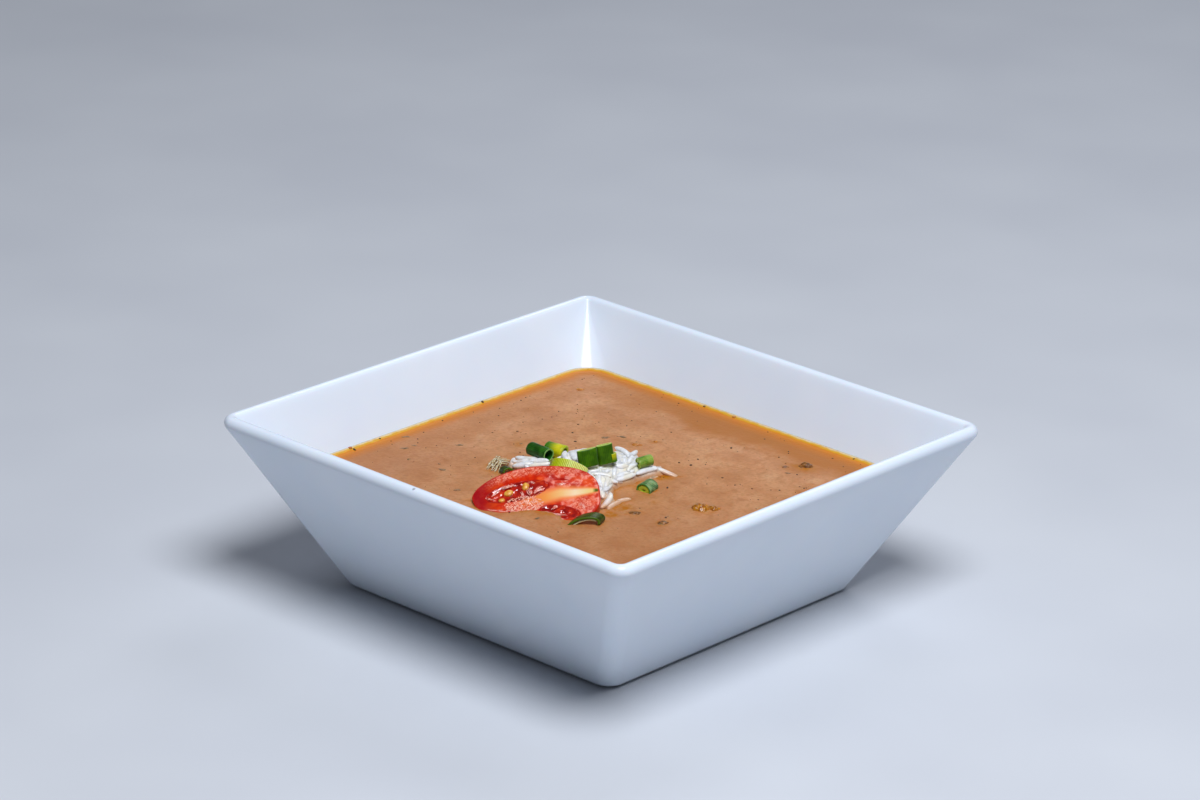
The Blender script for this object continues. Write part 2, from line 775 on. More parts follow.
# %% [markdown]
# Flat amber seeds lie in the jelly, pale threads of tissue run through it, and the flesh between the
# pockets is torn into short fibres. One smooth tube along a curve would look like wire, so each
# thread is a few loose strands side by side, and hundreds of tiny ones make the torn flesh. All of
# them are round bodies carried along a smooth curve. A seed is an oval ball half sunk in the jelly.
# %% Helpers for round bodies
TUBE_SIDES = 10


def ball(radii, sides=16, rings=10):
    """An oval ball as rings from its lower to its upper end."""
    turns = full_turn(sides)
    stack = []
    for i in range(1, rings):
        rise = math.pi * (i / rings - 0.5)
        a, b = (radius * math.cos(rise) for radius in radii[:2])
        height = radii[2] * math.sin(rise)
        stack.append([(a * math.cos(turn), b * math.sin(turn), height) for turn in turns])
    return skin_rings(stack)


def smooth_route(points, steps):
    """Points along a smooth curve that goes through all the given ones."""
    ends = [2 * points[0] - points[1], *points, 2 * points[-1] - points[-2]]
    route = []
    for i in range(len(points) - 1):
        a, b, c, d = ends[i:i + 4]
        for step in range(steps):
            t = step / steps
            route.append(0.5 * (2 * b + (c - a) * t + (2 * a - 5 * b + 4 * c - d) * t * t
                                + (3 * b - a - 3 * c + d) * t ** 3))
    return route + [points[-1]]


def cord_shape(route, radius_at, flatness=1):
    """A closed round body along a route; its radius is asked for by the share of the way."""
    rings = []
    for i, spot in enumerate(route):
        ahead = (route[min(i + 1, len(route) - 1)] - route[max(i - 1, 0)]).normalized()
        side = side_of(ahead)
        up = side.cross(ahead)
        radius = radius_at(i / (len(route) - 1))
        rings.append([spot + radius * (side * math.cos(a) + up * math.sin(a) * flatness)
                      for a in full_turn(TUBE_SIDES)])
    return skin_rings(rings)


def rounded_ends(radius):
    return lambda share: radius * max(1 - abs(2 * share - 1) ** 3, 0.02) ** 0.5


def tapered_ends(radius):
    return lambda share: radius * max(math.sin(math.pi * share), 0.06) ** 0.8


print("Round bodies along a route have", TUBE_SIDES, "sides")

# %% Seeds and pale threads
SEEDS = [((10, 1), 30, 1.05), ((14.6, 3.1), 80, 1.05), ((8.2, -1.4), 10, 0.7)]
SEED_RADII = (1.3, 1.0, 0.6)
SEED_RISE = 0.12
THREADS = [
    ([(5.5, 0.2), (6.4, 1.1), (7.3, 1.8)], 0.42),
    ([(7.9, 2.6), (9.6, 3.2), (11.9, 3.5)], 0.36),
    ([(3.3, -0.2), (4.4, -0.8), (5.5, -1)], 0.34),
    ([(13.4, 1.2), (13.9, 0.2), (13.6, -0.9)], 0.36),
    ([(15.4, 2.1), (15.8, 0.9), (16.3, -0.2)], 0.44),
    ([(17.2, 0.4), (18.4, 1.5), (19.9, 1.9)], 0.75),
    ([(15.1, 4.3), (16.2, 4.6), (17.2, 4.1)], 0.28),
    ([(22.9, -3.9), (22.9, -4.9), (22.1, -5.8)], 0.5),
    ([(20.4, -6.6), (22.6, -7.6), (26.4, -8.4)], 0.3),
    ([(22.4, 3.6), (23.9, 3.2), (25.6, 3.6)], 0.42),
    ([(3.2, -4.3), (6.4, -5), (9.5, -5.4), (14.7, -5.6), (18.3, -5.8)], 0.3),
    ([(29.5, -4.4), (30.6, -5.2), (31, -6.4)], 0.4),
]
THREAD_STRANDS = 4
THREAD_SPREAD = 0.5
THREAD_DRIFTS = (0.15, 0.1)
THREAD_LEVEL = -0.02
THREAD_THICKNESS = (0.3, 0.6)
THREAD_FLATNESS = 0.45
THREAD_ROUGHNESS = 0.14


def seed_shape(seed):
    (x, y), turn, size = seed
    points, faces = ball([size * radius for radius in SEED_RADII])
    seat = Matrix.Translation((x, y, SEED_RISE - GEL_DROP)) @ Matrix.Rotation(math.radians(turn), 4, "Z")
    return moved(points, TOMATO_POSE @ seat), faces


def thread_shape(thread, dice):
    """One wet thread: a few strands that run loosely side by side."""
    spots, radius = thread
    strands = []
    for _ in range(THREAD_STRANDS):
        shift = Vector((dice.gauss(0, THREAD_SPREAD), dice.gauss(0, THREAD_SPREAD), 0)) * radius
        loose = []
        for spot in spots:
            x, y = (value + dice.gauss(0, drift) for value, drift in zip(spot, THREAD_DRIFTS))
            loose.append(Vector((x, y, THREAD_LEVEL)) + shift)
        thick = radius * dice.uniform(*THREAD_THICKNESS)
        points, faces = cord_shape(smooth_route(loose, 8), tapered_ends(thick), THREAD_FLATNESS)
        rough = [point + Vector((0, 0, THREAD_ROUGHNESS * noise.noise(point * 2.2))) for point in points]
        strands.append((moved(rough, TOMATO_POSE), faces))
    return gather(strands)


print("Seeds:", len(SEEDS), "and threads:", len(THREADS))

# %% Fibres of the torn flesh
PITH_STRANDS = 420
PITH_PLACE = {"at": (14.4, -3.4), "radii": (5.4, 2.8)}
PITH_HEADING = (62, 28)
PITH_HALF_LENGTHS = (0.12, 0.4)
PITH_RISE = 0.06
PITH_THICKNESS = (0.07, 0.16)
PITH_FLATNESS = 0.6


def pith_strand(dice):
    """One short pale fibre in the torn flesh between the pockets."""
    turn, reach = dice.uniform(0, 2 * math.pi), math.sqrt(dice.random())
    (cx, cy), (a, b) = PITH_PLACE["at"], PITH_PLACE["radii"]
    x, y = cx + a * reach * math.cos(turn), cy + b * reach * math.sin(turn)
    lie = math.radians(dice.gauss(*PITH_HEADING))
    half = dice.uniform(*PITH_HALF_LENGTHS)
    spots = [Vector((x + half * s * math.cos(lie), y + half * s * math.sin(lie), PITH_RISE * (1 - s * s)))
             for s in (-1, 0, 1)]
    thick = dice.uniform(*PITH_THICKNESS)
    points, faces = cord_shape(smooth_route(spots, 3), tapered_ends(thick), PITH_FLATNESS)
    return moved(points, TOMATO_POSE), faces


print("Fibres in the torn flesh:", PITH_STRANDS)

# %% Make the small parts of the tomato
tomato_dice = random.Random(3)
pith_forms = [pith_strand(tomato_dice) for _ in range(PITH_STRANDS)]
pith = speckled(
    "tomato_pith", 0.8, (0.35, "ee8c6c"), (0.65, "fac6ae"), Roughness=0.25, Coat_Weight=0.4)
make_piece("tomato_pith_strands", gather(pith_forms), pith)
seed_coat = speckled(
    "tomato_seed", 1.2, (0.35, "c4700e"), (0.65, "ecb44c"), Roughness=0.35, Coat_Weight=0.15,
    Coat_Roughness=0.2, Subsurface_Weight=0.3, Subsurface_Scale=0.0008)
make_piece("tomato_seeds", gather([seed_shape(seed) for seed in SEEDS]), seed_coat)
thread_forms = [thread_shape(thread, tomato_dice) for thread in THREADS]
tissue = speckled(
    "tomato_thread", 1.0, (0.35, "d8604e"), (0.6, "f4a898"), Roughness=0.14, Coat_Weight=0.6,
    Coat_Roughness=0.04, Subsurface_Weight=0.2, Subsurface_Scale=0.0006)
make_piece("tomato_threads", gather(thread_forms), tissue)

# %% [markdown]
# ## The scallions
# A scallion's leaf is a hollow green tube, so each cut piece is a short tube, or part of one, with a
# wall that is wet inside and pale where the knife went through. The wall's section is a small rounded
# rectangle which is carried round an oval. The same helper makes whole rings, arcs and the ribbed
# white-green shaft. Marks say what is inside, what is cut, and how far round and along a point lies.
# %% Section of a leaf wall
LEAF_STEPS = 12
LEAF_EDGE = 0.14
LEAF_SIDES = 90
LEAF_LEAST_SIDES = 24
LEAF_WOBBLE = 0.035
LEAF_MARKS = ("inside", "cut", "around", "along")


def wall_section(wall, length):
    """The rounded rectangle of a leaf wall, as depth under the skin, height, inside mark and cut mark."""
    half = length / 2 - LEAF_EDGE
    heights = [half * (2 * i / LEAF_STEPS - 1) for i in range(LEAF_STEPS + 1)]
    depths = [wall * share for share in (0.2, 0.5, 0.8)]
    outside = [(0, z, 0, 0) for z in heights]
    top = [(depth, length / 2, 0.5, 1) for depth in depths]
    inside = [(wall, z, 1, 0) for z in reversed(heights)]
    bottom = [(depth, -length / 2, 0.5, 1) for depth in reversed(depths)]
    return outside + top + inside + bottom


print("A leaf wall's section has", len(wall_section(1, 4)), "points")

# %% Helper that sweeps a leaf wall


def leaf_point(leaf, angle, depth, z, inner):
    rib = leaf.get("rib", 0) * math.cos(leaf.get("ribs", 0) * angle) * (1 - inner)
    spot = Vector((2 * math.cos(angle), 2 * math.sin(angle), z / 4 + leaf["outer"]))
    swell = 1 + LEAF_WOBBLE * noise.noise(spot)
    flat = leaf.get("flat", 2)
    swell *= (abs(math.cos(angle)) ** flat + abs(math.sin(angle)) ** flat) ** (-1 / flat)
    x = (leaf["outer"] * swell - depth + rib) * math.cos(angle)
    y = (leaf["outer"] * leaf["squash"] * swell - depth + rib) * math.sin(angle)
    return (x, y, z + leaf.get("bias", 0) * x)


def leaf_shape(leaf):
    start, end = (math.radians(turn) for turn in leaf.get("arc", (0, 360)))
    whole = end - start > 2 * math.pi - 0.01
    fineness = 2 if leaf.get("ribs") else 1
    steps = max(LEAF_LEAST_SIDES, round(LEAF_SIDES * (end - start) / (2 * math.pi) * fineness))
    angles = evenly(start, end, steps)[:steps if whole else steps + 1]
    section = wall_section(leaf["wall"], leaf["length"])
    points, rows = [], []
    for angle in angles:
        for depth, z, inner, cut in section:
            points.append(leaf_point(leaf, angle, depth, z, inner))
            rows.append((inner, cut, angle * leaf["outer"], z / leaf["length"] + 0.5))
    return (points, leaf_faces(len(angles), len(section), whole)), rows


def leaf_faces(turns, count, whole):
    faces = []
    for turn in range(turns if whole else turns - 1):
        low, high = turn * count, (turn + 1) % turns * count
        faces += [(low + i, low + (i + 1) % count, high + (i + 1) % count, high + i) for i in range(count)]
    if not whole:
        faces += [tuple(range(count)), tuple(range((turns - 1) * count, turns * count))]
    return faces


print("A whole leaf is swept round in", LEAF_SIDES, "steps")

# %% [markdown]
# The green has fine darker and lighter lines along the leaf, and it goes from deep bluish green near
# the tip to lime and almost white at the shaft. So every piece gets its own pair of greens, while the
# pattern stays the same: lines from a wave round the leaf, a paler wet inside and a pale cut edge.
# %% Helper that finishes a leaf
LEAF_LINE_PITCH = 0.5


def leaf_finish(name, skin_dark, skin_light, inside, cut, end=None, contrast=0.3):
    leaf = new_finish(name, Roughness=0.34, Coat_Weight=0.05, Coat_Roughness=0.1, Specular_IOR_Level=0.2)
    wear(leaf, Subsurface_Weight=0.2, Subsurface_Scale=0.0006)
    wobble = calculate(leaf, "MULTIPLY", grain_of(leaf, 1.2), 5)
    turn = calculate(leaf, "MULTIPLY", mark(leaf, "around"), 2 * math.pi / LEAF_LINE_PITCH)
    wave = calculate(leaf, "SINE", calculate(leaf, "ADD", turn, wobble), 0)
    lines = calculate(leaf, "MULTIPLY", calculate(leaf, "ADD", wave, 1), contrast / 2)
    patch = calculate(leaf, "MULTIPLY", between(leaf, grain_of(leaf, 2.2), 0.35, 0.65), 1 - contrast)
    skin = blend(leaf, calculate(leaf, "ADD", lines, patch), tint(skin_dark), tint(skin_light))
    if end:
        mark_name, start, full, end_dark, end_light = end
        other = blend(leaf, lines, tint(end_dark), tint(end_light))
        skin = blend(leaf, between(leaf, mark(leaf, mark_name), start, full), skin, other)
    skin = blend(leaf, mark(leaf, "inside"), skin, tint(inside))
    wear(leaf, Base_Color=blend(leaf, mark(leaf, "cut"), skin, tint(cut)))
    return relief(leaf, wave, 0.006)


LEAF_FINISHES = {
    "deep": ("scallion_dark", leaf_finish("scallion_deep", "143c08", "2e6614", "1c5a10", "7ca850")),
    "olive": ("scallion_dark", leaf_finish("scallion_olive", "243402", "424c02", "8a9c60", "48680c")),
    "green": ("scallion_green", leaf_finish("scallion_green", "2c5402", "487602", "8ca01c", "b8cc60")),
    "bright": ("scallion_green", leaf_finish("scallion_bright", "46780c", "92ac4a", "1c4a0c", "b4c858")),
    "teal": ("scallion_dark", leaf_finish("scallion_teal", "305c28", "8ca670", "86a820", "4c8c40")),
    "lime": ("scallion_lime", leaf_finish("scallion_lime", "a8ac08", "d2c814", "7c9c10", "b8cc3c",
                                          ("along", 0.75, 0.1, "2e6c08", "4c8410"))),
    "shaft": ("scallion_pale", leaf_finish("scallion_shaft", "8c9c00", "c8d414", "d8e090", "dce498",
                                           ("around", 25, 33, "b4bc38", "eaee98"), 1)),
    "membrane": ("scallion_pale", leaf_finish("scallion_membrane", "b8a890", "f0e4d8", "d8ccb8", "d0d0a0")),
}
print("Finishes for the scallions:", ", ".join(LEAF_FINISHES))

# %% [markdown]
# Every cut piece has its own size and lies its own way, so a table gives each one's sizes, the slant
# of its cut and its pose in the garnish frame, as the picture shows them. One piece could be copied
# and turned instead, but then all the cuts would look alike. Young leaves grow inside older ones, so
# four paler ones are rolled up in these, and the same helper makes them.
# %% Places of the scallions
SCALLIONS = [
    {"name": "scallion_tube_left", "green": "deep", "outer": 2, "wall": 0.5, "length": 7.2,
     "squash": 0.95, "pose": ((-17.2, 7.8, 3.9), 46, 90)},
    {"name": "scallion_tube_lime", "green": "lime", "outer": 2.1, "wall": 0.9, "length": 5.4,
     "squash": 0.95, "bias": 0.2, "pose": ((-12.8, 11.2, 3.2), 72, 96)},
    {"name": "scallion_block_left", "green": "green", "outer": 2.8, "wall": 0.9, "length": 5,
     "squash": 0.45, "bias": 0.05, "flat": 3, "pose": ((-3.8, -5.6, 7.8), 38, -19, -24)},
    {"name": "scallion_block_right", "green": "green", "outer": 2.3, "wall": 0.8, "length": 5.4,
     "squash": 0.5, "bias": 0.05, "flat": 3, "pose": ((1, -3.2, 8.2), 46, -15, -36)},
    {"name": "scallion_tube_right", "green": "bright", "outer": 1.7, "wall": 0.4, "length": 4.4,
     "squash": 0.9, "bias": 0.1, "pose": ((12, 2.2, 4.2), -60, 96)},
    {"name": "scallion_tube_low", "green": "teal", "outer": 2.3, "wall": 0.45, "length": 5,
     "squash": 0.85, "bias": 0.1, "pose": ((12.9, -8, 0.4), -28, 88)},
    {"name": "scallion_band", "green": "shaft", "outer": 5.9, "wall": 0.9, "length": 3.8,
     "squash": 1, "arc": (205, 346), "rib": 0.06, "ribs": 72, "pose": ((-8.8, -6.2, 3.3), -24, -44)},
    {"name": "scallion_arch", "green": "olive", "outer": 4.6, "wall": 0.7, "length": 3.4,
     "squash": 0.55, "bias": -0.45, "arc": (-20, 178), "pose": ((-3.9, -33.9, -0.3), -25, 94, 20)},
    {"name": "scallion_fragment", "green": "olive", "outer": 1.8, "wall": 0.6, "length": 2.4,
     "squash": 1, "arc": (20, 165), "pose": ((-26.2, 0.8, 0.1), 30, 84)},
]
INNER_LEAVES = [
    {"green": "lime", "outer": 1.9, "wall": 0.5, "length": 2.4, "squash": 1, "arc": (-80, 60),
     "pose": ((2.4, -2.6, 6.9), 46, -15, -36)},
    {"green": "membrane", "outer": 3.8, "wall": 0.4, "length": 2.6, "squash": 0.5, "bias": -0.45,
     "arc": (20, 160), "pose": ((-3.7, -34, -0.5), -25, 94, 20)},
    {"green": "lime", "outer": 1.8, "wall": 1.35, "length": 4.7, "squash": 0.82, "bias": 0.1,
     "pose": ((12.9, -8, 0.4), -28, 88)},
    {"green": "lime", "outer": 1.25, "wall": 0.9, "length": 4.2, "squash": 0.86, "bias": 0.1,
     "pose": ((12, 2.2, 4.2), -60, 96)},
]
print("Cut scallions:", len(SCALLIONS), "and leaves rolled up inside them:", len(INNER_LEAVES))

# %% Make the scallions


def make_leaf(leaf, name):
    (points, faces), rows = leaf_shape(leaf)
    slot, finish = LEAF_FINISHES[leaf["green"]]
    form = (moved(points, pose(*leaf["pose"])), faces)
    return make_piece(name, form, finish, shared_marks(LEAF_MARKS, rows))


def make_scallion(leaf):
    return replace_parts(make_leaf(leaf, leaf["name"] + "_leaf"), leaf["name"])


scallions = [make_scallion(leaf) for leaf in SCALLIONS]
scallions += [make_leaf(leaf, "scallion_inner_leaf") for leaf in INNER_LEAVES]

# %% [markdown]
# ## The onion
# A few thin strips of onion bow up out of the soup and lie across each other. Their ends and edges are
# frayed, so each strip is a handful of thin flattened strands that follow the same smooth curve and
# wander a little to both sides. They let some light through.
# %% Make the onion shred
ONION_STRIPS = [
    [(-31, 2.4, 0.2), (-30.2, 5.6, 1.4), (-28.6, 8.4, 1.6), (-27.6, 11, 0.5)],
    [(-29.8, 1.2, 0.2), (-28.4, 4.2, 1.7), (-27, 6.6, 1.5), (-26, 9.6, 0.6)],
    [(-31.6, 6.4, 0.1), (-29.6, 6.8, 1.5), (-27.4, 5.4, 1.8), (-25.6, 5.8, 0.9)],
]
ONION_HALF_WIDTH = 1
ONION_STRANDS = 7
ONION_FLATNESS = 0.4
ONION_SPREAD = 0.5
ONION_LIFT = (-0.4, 0.3)
ONION_THICKNESS = (0.08, 0.24)


def onion_strand(strip, strand, dice):
    """One of the thin strands that a strip frays into; they cross each other."""
    share = 2 * (strand + 0.5) / ONION_STRANDS - 1
    spots = [Vector(spot) for spot in strip]
    side = side_of(spots[-1] - spots[0]) * ONION_HALF_WIDTH
    loose = []
    for spot in spots:
        sideways = side * (share + dice.gauss(0, ONION_SPREAD))
        loose.append(spot + sideways + Vector((0, 0, dice.uniform(*ONION_LIFT))))
    thick = dice.uniform(*ONION_THICKNESS)
    points, faces = cord_shape(smooth_route(loose, 10), rounded_ends(thick), ONION_FLATNESS)
    return moved(points, garnish), faces


def onion_shape(strip, dice):
    return gather([onion_strand(strip, strand, dice) for strand in range(ONION_STRANDS)])


def onion_finish():
    onion = new_finish("onion_flesh", Roughness=0.2, Coat_Weight=0.2, Transmission_Weight=0.15)
    wear(onion, Subsurface_Weight=0.4, Subsurface_Scale=0.0006, Subsurface_Radius=(1, 0.85, 0.6))
    fibre = grain_of(onion, 0.6, 3)
    wear(onion, Base_Color=ramp(onion, fibre, (0.35, "b89460"), (0.5, "d8c898"), (0.66, "f0ead0")))
    return relief(onion, fibre, 0.04)


onion_dice = random.Random(8)
onion_forms = [onion_shape(strip, onion_dice) for strip in ONION_STRIPS]
onion = make_piece("onion_strips", gather(onion_forms), onion_finish())
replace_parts(onion, "onion_shred")

# %% [markdown]
# ## The rice
# The heap is a small mound of long grain rice, on which the scallions lie and against which the
# tomato leans. Filling it with grains would waste thousands that nobody sees, so a rounded core
# fills the middle and real grains lie on it. Between the grains the core rises as the starchy film
# that holds cooked rice together, so it is made after them, and at the soup's edge it dips under. It is
# kept under whatever lies on the heap: a ray from below finds the underside of the tomato or scallion
# over each of its points.
# %% Lobes of the heap
RICE_LOBES = [
    {"at": (-3, 1, -1), "radii": (11.5, 11, 7.4), "grains": 180},
    {"at": (-16, 5.5, -0.8), "radii": (9.5, 6, 3), "grains": 70},
    {"at": (5, 5, -0.8), "radii": (8, 8, 5.2), "grains": 100},
    {"at": (11, 4.5, -0.8), "radii": (6.5, 5, 2.4), "grains": 30},
    {"at": (0.6, -10.5, -0.8), "radii": (3, 6.5, 4.4), "grains": 16},
    {"at": (2, -17, -0.8), "radii": (4, 6, 1.4), "grains": 0},
]
HEAP_SINK = 0.1
HEAP_CELL = 0.4
FILM_PASSES = 4
FILM_DEPTH = 0.16
FILM_FLOOR = -0.9
SHORE_DROP = 0.6
HEAP_DEPTH = -2.5
HEAP_SKIRT = 0.5
HEAP_BUMPS = 0.35
TOPPING_GAP = 0.15
HIGH_ABOVE = 20


def tree_of(pieces):
    """The surfaces of some pieces, for asking what is near or in the way; in millimetres."""
    shapes = []
    for piece in pieces:
        points = [vertex.co / MM for vertex in piece.data.vertices]
        shapes.append((points, [tuple(face.vertices) for face in piece.data.polygons]))
    return BVHTree.FromPolygons(*gather(shapes))


def lobe_height(lobe, x, y):
    """Height of a lobe's surface over a place, or a very low number beside the lobe."""
    cx, cy, cz = lobe["at"]
    a, b, c = lobe["radii"]
    rest = 1 - ((x - cx) / a) ** 2 - ((y - cy) / b) ** 2
    return cz + c * math.sqrt(rest) if rest > 0 else HEAP_DEPTH


print("The heap stands", round(lobe_height(RICE_LOBES[0], -3, 1), 1), "mm over the soup")

# %% Height of the core


def under_toppings(tree, x, y, height):
    """That height, lowered to stay under what lies over the place."""
    foot = garnish @ Vector((x, y, HEAP_DEPTH))
    hit = tree.ray_cast(foot, UP)[0]
    return height if hit is None else min(height, hit.z - SOUP_LEVEL - TOPPING_GAP)


def heap_height(tree, x, y):
    height = max(lobe_height(lobe, x, y) for lobe in RICE_LOBES) - HEAP_SINK
    height += HEAP_BUMPS * noise.noise(Vector((x, y, 0)) * 0.8)
    return max(under_toppings(tree, x, y, height), HEAP_DEPTH)


def heap_spots():
    """Columns, rows and places of a grid over the heap."""
    low = [min(lobe["at"][axis] - lobe["radii"][axis] for lobe in RICE_LOBES) - 1 for axis in (0, 1)]
    high = [max(lobe["at"][axis] + lobe["radii"][axis] for lobe in RICE_LOBES) + 1 for axis in (0, 1)]
    columns, rows = (round((high[axis] - low[axis]) / HEAP_CELL) for axis in (0, 1))
    cells = [(i, j) for j in range(rows) for i in range(columns)]
    return columns, rows, [(low[0] + i * HEAP_CELL, low[1] + j * HEAP_CELL) for i, j in cells]


def smoothed(heights, columns):
    """Every height as the mean of itself and its neighbours."""
    around = [row * columns + column for row in (-1, 0, 1) for column in (-1, 0, 1)]
    last = len(heights) - 1
    close = ([heights[min(max(i + step, 0), last)] for step in around] for i in range(last + 1))
    return [sum(some) / len(around) for some in close]


print("The core's grid has", len(heap_spots()[2]), "points")

# %% Shape of the core


def heap_core_shape(tree, grain_tree):
    """A closed block whose top follows the heap and fills the gaps between the grains."""
    columns, rows, spots = heap_spots()
    heights = [max(heap_height(tree, x, y), grain_top(grain_tree, x, y), FILM_FLOOR) for x, y in spots]
    for _ in range(FILM_PASSES):
        heights = smoothed(heights, columns)
    heights = [height - FILM_DEPTH - SHORE_DROP * fade(height, 0.2, 1) for height in heights]
    heights = [under_toppings(tree, x, y, height) for (x, y), height in zip(spots, heights)]
    top = [garnish @ Vector((x, y, max(height, HEAP_DEPTH))) for (x, y), height in zip(spots, heights)]
    bottom = [garnish @ Vector((x, y, HEAP_DEPTH - HEAP_SKIRT)) for x, y in spots]
    return top + bottom, heap_faces(columns, rows)


def grain_top(grain_tree, x, y):
    """Height of the highest grain over a place, or a very low number where none lies."""
    high = garnish @ Vector((x, y, HIGH_ABOVE))
    hit = grain_tree.ray_cast(high, DOWN)[0]
    return HEAP_DEPTH if hit is None else hit.z - SOUP_LEVEL


def heap_faces(columns, rows):
    count = columns * rows
    starts = [j * columns + i for j in range(rows - 1) for i in range(columns - 1)]
    faces = [(a, a + 1, a + columns + 1, a + columns) for a in starts]
    faces += [(count + a, count + a + columns, count + a + columns + 1, count + a + 1) for a in starts]
    border = [*range(columns), *range(2 * columns - 1, count, columns)]
    border += [*range(count - 2, count - columns - 1, -1), *range(count - 2 * columns, 0, -columns)]
    for here, after in zip(border, border[1:] + border[:1]):
        faces.append((here, after, after + count, here + count))
    return faces


toppings = tree_of([flesh, onion, *scallions])
print("The heap lies under", 2 + len(scallions), "pieces")

# %% [markdown]
# A cooked grain is about seven millimetres long and two wide, a little bent and flattened, with
# blunt ends. The grains that show most are placed one by one, as the picture has them. The others
# are strewn over the mound in a seeded random way, and those that would touch a topping are left out.
# %% One grain of rice
GRAIN_WIDTH = 1.8
GRAIN_LENGTHS = (6.2, 8.6)
GRAIN_SIDES = 12
GRAIN_RINGS = 14
GRAIN_BLUNTNESS = 3.4
GRAIN_CREASE = 0.06
GRAIN_BEND = 0.9
GRAIN_FLATNESS = (0.75, 0.95)
GRAIN_SWELL = (0.88, 1.04)


def grain_shape(centre, direction, length, dice):
    """One grain: a bent, slightly flattened spindle with blunt ends."""
    bend = dice.uniform(-GRAIN_BEND, GRAIN_BEND)
    flatness = dice.uniform(*GRAIN_FLATNESS)
    width = GRAIN_WIDTH * dice.uniform(*GRAIN_SWELL) / 2
    crease = dice.uniform(0, 2 * math.pi)
    side = side_of(direction)
    up = side.cross(direction)
    rings = []
    for i in range(1, GRAIN_RINGS):
        along = -math.cos(math.pi * i / GRAIN_RINGS)
        radius = width * (1 - abs(along) ** GRAIN_BLUNTNESS) ** 0.5
        spot = centre + direction * along * length / 2 + side * bend * (0.5 - along * along)
        rings.append([spot + grain_rim(radius, turn, crease, side, up * flatness)
                      for turn in full_turn(GRAIN_SIDES)])
    return skin_rings(rings)


def grain_rim(radius, turn, crease, side, up):
    radius *= 1 + GRAIN_CREASE * math.cos(3 * (turn + crease))
    return radius * (side * math.cos(turn) + up * math.sin(turn))


print("A grain has", GRAIN_SIDES * (GRAIN_RINGS - 1) + 2, "points")

# %% Grains that show most
SHOWN_GRAINS = [
    ((-24.2, 9.2, 1.3), (-16.8, 5.8, 2.4)), ((-20.6, 3.9, 2.2), (-14.5, 3.4, 3.2)),
    ((-24.7, 2.3, 1.4), (-18.9, 2.1, 2.4)), ((-20, 0.6, 2.2), (-13.9, 0.4, 3.4)),
    ((-10.3, 2.9, 6.1), (-9.5, -3.8, 6.1)), ((-8.3, 3.4, 6.1), (-7.1, -3.7, 6.1)),
    ((4, 9, 5.6), (7.9, 4.2, 4.6)), ((10.1, 10.3, 4), (5.9, 3.6, 4.4)),
    ((7, 8, 4.4), (8.8, 4, 3.9)), ((2.7, -2.5, 4.4), (7.7, -0.9, 3.8)),
    ((-0.8, -5, 4.4), (3.5, -0.9, 4.6)), ((7, -3.5, 3.2), (9.8, 2.4, 3.6)),
    ((8.6, -0.9, 1.6), (15.2, 4.4, 1.9)), ((2.5, -7.2, 1.4), (9.7, -3, 2.4)),
    ((14.9, 4.4, 1.5), (21.8, 2.4, -0.6)), ((2.6, -6.2, 2.2), (9.4, -1.7, 3)),
    ((9.4, -2.4, 2.2), (15.6, 3.2, 2)), ((-2.2, -9.1, 4.6), (2.8, -9.2, 4)),
    ((-0.8, -9.2, 4.4), (0.1, -14.9, 2.7)), ((-0.1, -13.3, 2.9), (0.8, -18.4, 1)),
    ((1, -8.8, 4), (2.4, -12.8, 2.5)), ((3.2, -16.3, 2), (0.5, -24, 0.4)),
    ((4.3, -18.6, 0.1), (8.4, -15.4, 0)), ((1.9, -23.7, 0.1), (5.4, -18.1, 0.2)),
    ((-17, 13, 0.6), (-10.6, 11.2, 0.1)), ((-16.6, 10.9, 0.7), (-9.8, 9.1, 0.1)),
    ((-15.4, 14.6, 0.1), (-8.6, 13, -0.1)),
]


def shown_grain(start, end):
    start, end = Vector(start), Vector(end)
    return (start + end) / 2, (end - start).normalized(), (end - start).length


print("Grains placed one by one:", len(SHOWN_GRAINS))

# %% Placing the grains
GRAIN_SINK = (0.2, 0.7)
GRAIN_SPACING = 1.5
GRAIN_HEIGHTS = (0.12, 1)
BURIED_DEPTH = 1.2


def strewn_grain(lobe, dice):
    """A grain that lies on a lobe at a random place and heading."""
    turn = dice.uniform(0, 2 * math.pi)
    height = dice.uniform(*GRAIN_HEIGHTS)
    spread = math.sqrt(1 - height * height)
    unit = Vector((spread * math.cos(turn), spread * math.sin(turn), height))
    radii = Vector(lobe["radii"])
    normal = Vector(u / r for u, r in zip(unit, radii)).normalized()
    lie = Vector((dice.uniform(-1, 1), dice.uniform(-1, 1), dice.uniform(-0.4, 0.4)))
    lie = (lie - normal * lie.dot(normal)).normalized()
    centre = unit * radii + Vector(lobe["at"]) - normal * dice.uniform(*GRAIN_SINK)
    return centre, lie, dice.uniform(*GRAIN_LENGTHS)


def buried(centre):
    """Whether a grain lies well under the surface of some lobe."""
    return any(lobe_height(lobe, centre.x, centre.y) - centre.z > BURIED_DEPTH for lobe in RICE_LOBES)


def laid_grains(tree, dice):
    """The placed grains, and the strewn ones that have room and touch no topping."""
    shapes, centres = [], []
    shown = [shown_grain(*ends) for ends in SHOWN_GRAINS]
    strewn = [strewn_grain(lobe, dice) for lobe in RICE_LOBES for _ in range(lobe["grains"])]
    for index, (centre, lie, length) in enumerate(shown + strewn):
        crowded = any((centre - other).length < GRAIN_SPACING for other in centres)
        if index >= len(shown) and (crowded or buried(centre)):
            continue
        points, faces = grain_shape(centre, lie, length, dice)
        points = moved(points, garnish)
        if index < len(shown) or not BVHTree.FromPolygons(points, faces).overlap(tree):
            shapes.append((points, faces))
            centres.append(centre)
    return shapes


print("Grains to try on the heap:", sum(lobe["grains"] for lobe in RICE_LOBES))

